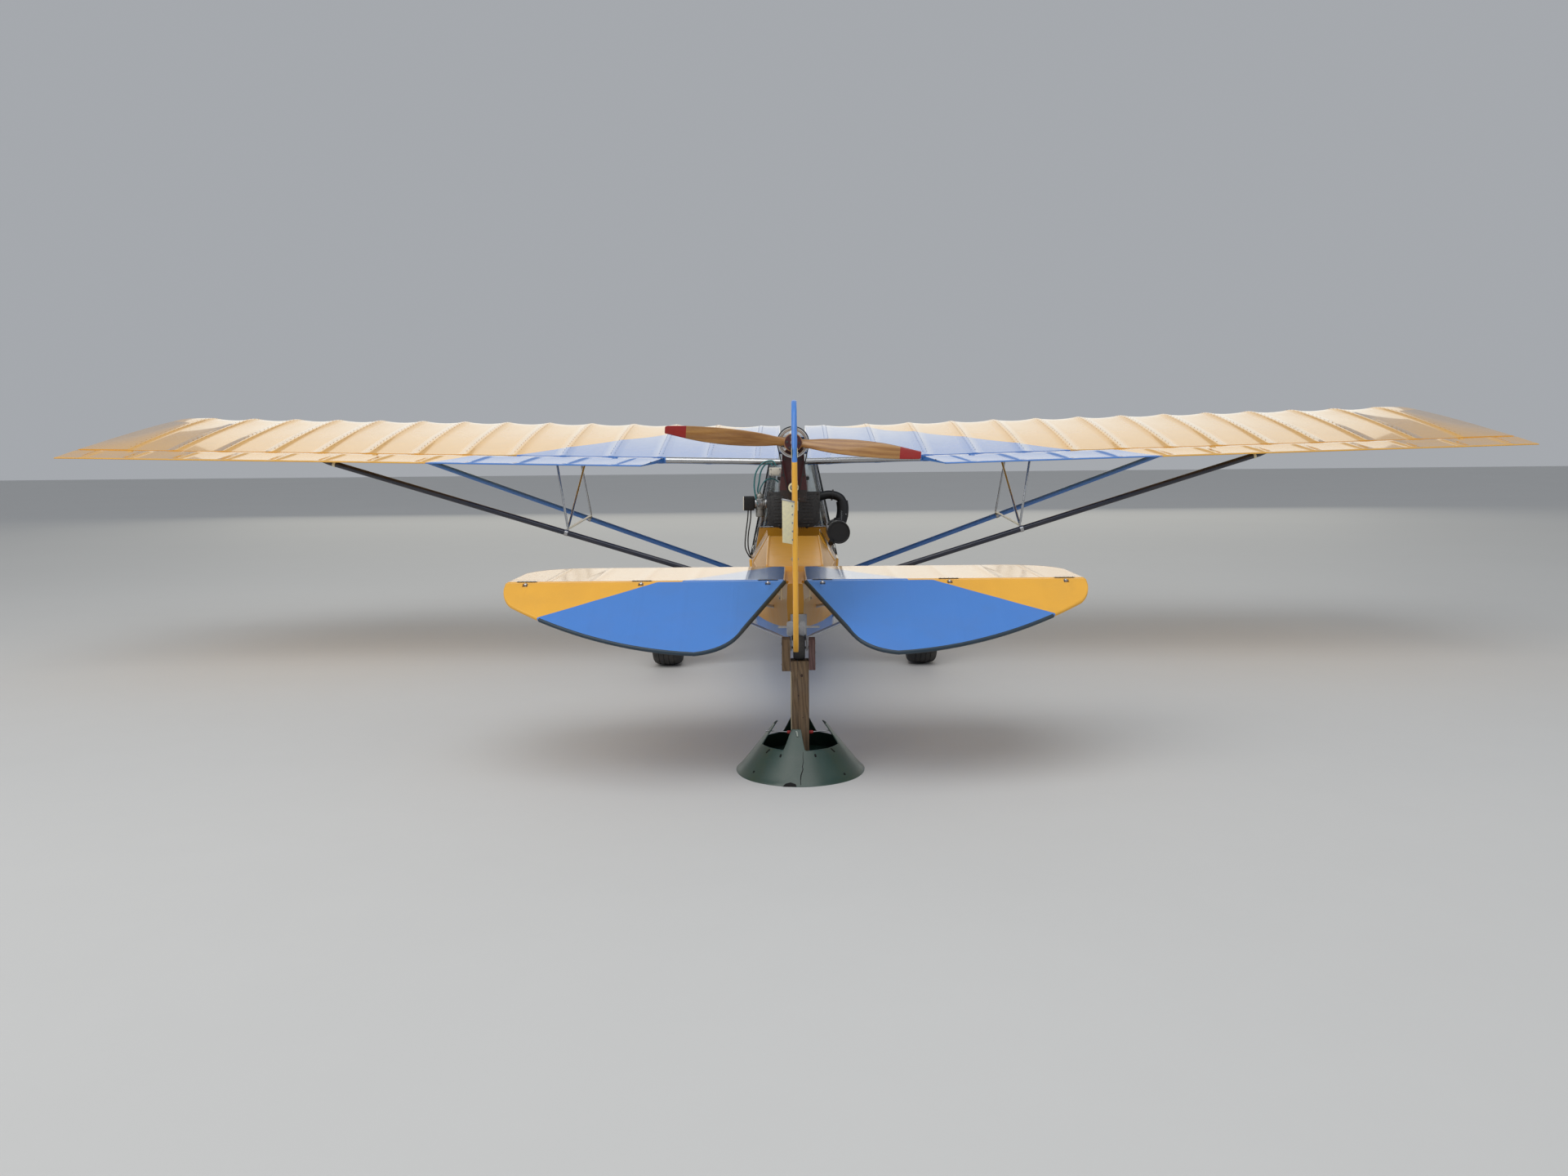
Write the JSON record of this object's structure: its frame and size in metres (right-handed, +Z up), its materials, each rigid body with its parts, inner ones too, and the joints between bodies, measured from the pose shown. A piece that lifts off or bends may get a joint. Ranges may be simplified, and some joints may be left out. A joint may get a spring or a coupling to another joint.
{
  "type": "ultralight aircraft",
  "caption": "Strut-braced high-wing cabin ultralight with a pusher propeller, tricycle wheels and its tail propped on a wooden post in a plastic cone.",
  "frame": {"origin": "on the ground, in the middle of the overall box: below the centreline, level with the rear seat", "axes": "+X to the aircraft's right wing, +Y toward the nose, +Z up"},
  "size_m": [9.6, 5.9, 1.7437],
  "materials": {
    "yellow_fabric": "glossy painted fabric, yellow",
    "blue_fabric": "glossy painted fabric, blue",
    "navy_paint": "gloss navy paint",
    "blue_paint": "gloss blue paint",
    "bare_aluminium": "satin",
    "steel": "dull",
    "engine_black": "satin black",
    "maroon_paint": "gloss maroon",
    "rubber": "matte",
    "tyre": "matte",
    "clear_sheet": "clear plastic sheet",
    "seat_cloth": "woven",
    "propeller_wood": "varnished",
    "plank_wood": "raw, weathered",
    "green_plastic": "moulded",
    "cream_plastic": "moulded",
    "black_plastic": "moulded"
  },
  "bodies": {
    "airframe": {"cabin_tub": "blue_fabric", "nose_cone": "blue_fabric", "windshield": "clear_sheet", "root_structure": "bare_aluminium", "aft_fuselage": "yellow_fabric", "engine_bay": "yellow_fabric", "fin": "yellow_fabric", "cabin_frame": "bare_aluminium", "rear_bulkhead": "yellow_fabric", "instrument_panel": "black_plastic", "front_seat": "seat_cloth", "rear_seat": "seat_cloth", "control_stick": "black_plastic", "fuel_tank": "cream_plastic", "engine_block": "engine_black", "drive_plate": "maroon_paint", "drive_belt": "rubber", "muffler": "steel", "carburettor": "steel", "tail_fork": "bare_aluminium", "stand_post": "plank_wood", "stand_base": "green_plastic", "wing_left": "yellow_fabric", "wing_right": "yellow_fabric", "front_strut_left": "blue_paint", "front_strut_right": "blue_paint", "rear_strut_left": "navy_paint", "rear_strut_right": "navy_paint", "jury_struts_left": "bare_aluminium", "jury_struts_right": "bare_aluminium", "side_window_left": "clear_sheet", "side_window_right": "clear_sheet", "tail_brace_left": "navy_paint", "tail_brace_right": "navy_paint", "stabiliser_left": "yellow_fabric", "stabiliser_right": "yellow_fabric", "gear_leg_left": "navy_paint", "gear_leg_right": "navy_paint"},
    "flaperon_left": {"flaperon_left": "yellow_fabric"},
    "flaperon_right": {"flaperon_right": "yellow_fabric"},
    "elevator": {"elevator_left": "yellow_fabric", "elevator_right": "yellow_fabric"},
    "rudder": {"rudder": "yellow_fabric"},
    "propeller": {"propeller": "propeller_wood", "upper_pulley": "bare_aluminium"},
    "crank_pulley": {"lower_pulley": "bare_aluminium"},
    "door_left": {"door_left": "black_plastic", "door_pane_left": "clear_sheet"},
    "door_right": {"door_right": "black_plastic", "door_pane_right": "clear_sheet"},
    "main_wheel_left": {"main_tyre_left": "tyre", "main_hub_left": "bare_aluminium"},
    "main_wheel_right": {"main_tyre_right": "tyre", "main_hub_right": "bare_aluminium"},
    "nose_fork": {"nose_fork": "steel"},
    "nose_wheel": {"nose_tyre": "tyre", "nose_hub": "bare_aluminium"},
    "tail_wheel": {"tail_wheel": "rubber"}
  },
  "joints": [
    {"name": "flaperon_right_hinge", "type": "hinge", "parent": "airframe", "child": "flaperon_right", "pos_m": [1.18, -0.025, 1.4069], "axis": [0.9997, 0, 0.0228], "range_deg": [-20, 20]},
    {"name": "flaperon_left_hinge", "type": "hinge", "parent": "airframe", "child": "flaperon_left", "pos_m": [-1.18, -0.025, 1.4069], "axis": [0.9997, 0, -0.0228], "range_deg": [-20, 20]},
    {"name": "elevator_hinge", "type": "hinge", "parent": "airframe", "child": "elevator", "pos_m": [0, -2.48, 0.857], "axis": [-1, 0, 0], "range_deg": [0, 50]},
    {"name": "rudder_hinge", "type": "hinge", "parent": "airframe", "child": "rudder", "pos_m": [0, -2.454, 1.2], "axis": [0, 0, 1], "range_deg": [-25, 25]},
    {"name": "propeller_shaft", "type": "hinge", "parent": "airframe", "child": "propeller", "pos_m": [0, -0.498, 1.505], "axis": [0, 1, 0], "continuous": true},
    {"name": "crankshaft", "type": "hinge", "parent": "airframe", "child": "crank_pulley", "pos_m": [0, -0.42, 1.222], "axis": [0, 1, 0], "continuous": true},
    {"name": "door_right_hinge", "type": "hinge", "parent": "airframe", "child": "door_right", "pos_m": [0.14098, 0.995, 1.45679], "axis": [0.0306, -0.989, -0.1444], "range_deg": [0, 75]},
    {"name": "door_left_hinge", "type": "hinge", "parent": "airframe", "child": "door_left", "pos_m": [-0.14098, 0.995, 1.45679], "axis": [0.0306, 0.989, 0.1444], "range_deg": [0, 75]},
    {"name": "main_axle_left", "type": "hinge", "parent": "airframe", "child": "main_wheel_left", "pos_m": [-0.865, 0.047, 0.205], "axis": [1, 0, 0], "continuous": true},
    {"name": "main_axle_right", "type": "hinge", "parent": "airframe", "child": "main_wheel_right", "pos_m": [0.865, 0.047, 0.205], "axis": [1, 0, 0], "continuous": true},
    {"name": "nose_steering", "type": "hinge", "parent": "airframe", "child": "nose_fork", "pos_m": [0, 2.4, 0.36], "axis": [0, 0, 1], "range_deg": [-25, 25]},
    {"name": "nose_axle", "type": "hinge", "parent": "nose_fork", "child": "nose_wheel", "pos_m": [0, 2.4, 0.15], "axis": [1, 0, 0], "continuous": true},
    {"name": "tail_axle", "type": "hinge", "parent": "airframe", "child": "tail_wheel", "pos_m": [0.015, -2.531, 0.566], "axis": [1, 0, 0], "continuous": true}
  ],
  "couplings": [
    {"joint": "flaperon_left_hinge", "follows": "flaperon_right_hinge", "ratio": -1},
    {"joint": "crankshaft", "follows": "propeller_shaft", "ratio": 2.5}
  ]
}
